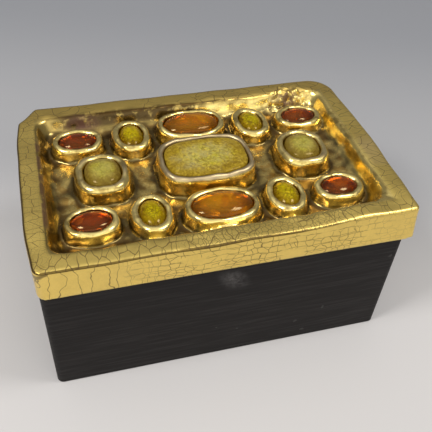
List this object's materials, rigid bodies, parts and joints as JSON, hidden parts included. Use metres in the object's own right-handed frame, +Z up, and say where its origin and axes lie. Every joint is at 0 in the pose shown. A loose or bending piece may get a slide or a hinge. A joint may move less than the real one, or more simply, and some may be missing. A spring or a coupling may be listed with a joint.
{
  "type": "lidded box",
  "caption": "Black wooden trinket box with a loose lid of gilded crackle ceramic, hollowed as a shallow tray with glass stones set in raised collars.",
  "frame": {"origin": "on the table, under the middle of the lid", "axes": "+X to the right along the long side, +Y to the back, +Z up"},
  "size_m": [0.162, 0.104, 0.08],
  "materials": {
    "black_wood": "black stain over brushed grain",
    "inner_wood": "thin black stain",
    "felt": "black felt",
    "gilded_ceramic": "gilded crackle glaze",
    "olive_glass": "crackled",
    "pale_green_glass": "glossy",
    "honey_glass": "glossy",
    "lime_glass": "glossy, flecked",
    "amber_glass": "glossy"
  },
  "bodies": {
    "box": {"front_wall": "black_wood", "back_wall": "black_wood", "left_wall": "black_wood", "right_wall": "black_wood", "bottom_panel": "inner_wood", "floor_lining": "felt"},
    "lid": {"lid_tile": "gilded_ceramic", "lid_board": "inner_wood", "centre_stone": "olive_glass", "cushion_stone_left": "pale_green_glass", "cushion_stone_right": "pale_green_glass", "long_stone_back": "honey_glass", "long_stone_front": "honey_glass", "upright_stone_back_left": "lime_glass", "upright_stone_back_right": "lime_glass", "upright_stone_front_left": "lime_glass", "upright_stone_front_right": "lime_glass", "corner_stone_back_left": "amber_glass", "corner_stone_back_right": "amber_glass", "corner_stone_front_left": "amber_glass", "corner_stone_front_right": "amber_glass"}
  },
  "joints": [
    {"name": "lid_lift", "type": "slide", "parent": "box", "child": "lid", "axis": [0, 0, 1], "range_m": [0, 0.08]}
  ]
}
